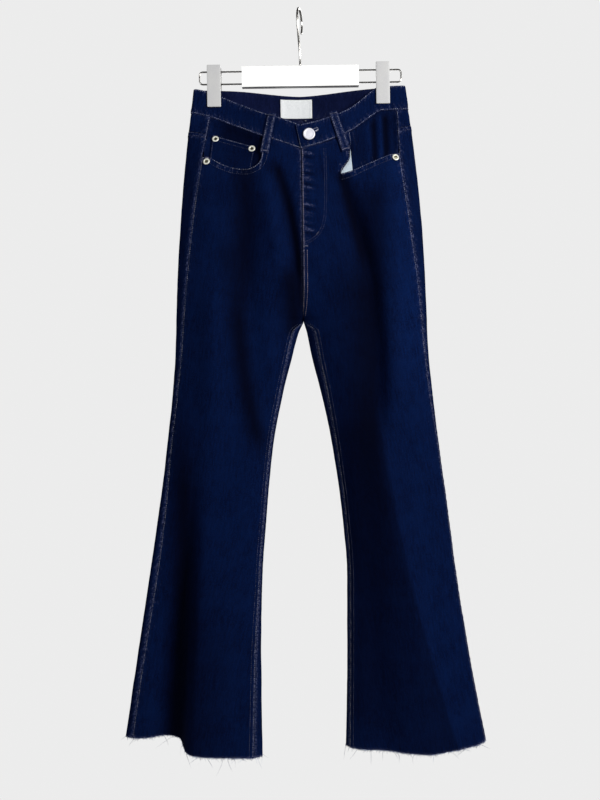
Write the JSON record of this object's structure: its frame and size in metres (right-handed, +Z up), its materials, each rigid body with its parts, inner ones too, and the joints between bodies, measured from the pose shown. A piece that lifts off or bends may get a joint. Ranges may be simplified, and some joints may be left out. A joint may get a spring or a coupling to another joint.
{
  "type": "high-waisted jeans on a clip hanger",
  "caption": "High-waisted flared denim jeans with patch pockets and a raw hem, hanging by the waistband from a wire clip hanger.",
  "frame": {"origin": "inside top of the hanger's hook, where it rests on a rail", "axes": "+Z up, -Y towards the front of the jeans, +X towards the wearer's left leg"},
  "size_m": [0.5594, 0.1012, 1.1445],
  "materials": {
    "denim": "dark indigo twill, unwashed, matt",
    "topstitch": "greyish indigo and tan sewing thread",
    "fray": "loose pale blue threads at the raw hem",
    "pocket_lining": "plain pale cotton pocket cloth",
    "woven_label": "smooth white woven tape, bare",
    "trim_metal": "white metal, satin",
    "hanger_steel": "bright drawn wire",
    "hanger_white": "white, satin, bare",
    "clip_grey": "pale grey metal, matt"
  },
  "bodies": {
    "root": {"front_panel_right": "denim", "front_panel_left": "denim", "back_panel_right": "denim", "back_panel_left": "denim", "yoke_right": "denim", "yoke_left": "denim", "waistband": "denim", "fly_underlap": "denim", "pocket_facing_right": "denim", "pocket_facing_left": "denim", "pocket_lining_left": "pocket_lining", "coin_pocket": "denim", "back_pocket_right": "denim", "back_pocket_left": "denim", "belt_loop_1": "denim", "belt_loop_2": "denim", "belt_loop_3": "denim", "belt_loop_4": "denim", "belt_loop_5": "denim", "waist_button": "trim_metal", "rivet_1": "trim_metal", "rivet_2": "trim_metal", "rivet_3": "trim_metal", "rivet_4": "trim_metal", "waist_label": "woven_label", "hanger_hook": "hanger_steel", "hanger_loop": "hanger_steel", "hanger_sleeve": "hanger_white", "clip_right_front_jaw": "clip_grey", "clip_right_back_jaw": "clip_grey", "clip_right_spring": "hanger_steel", "clip_left_front_jaw": "clip_grey", "clip_left_back_jaw": "clip_grey", "clip_left_spring": "hanger_steel"}
  },
  "joints": []
}
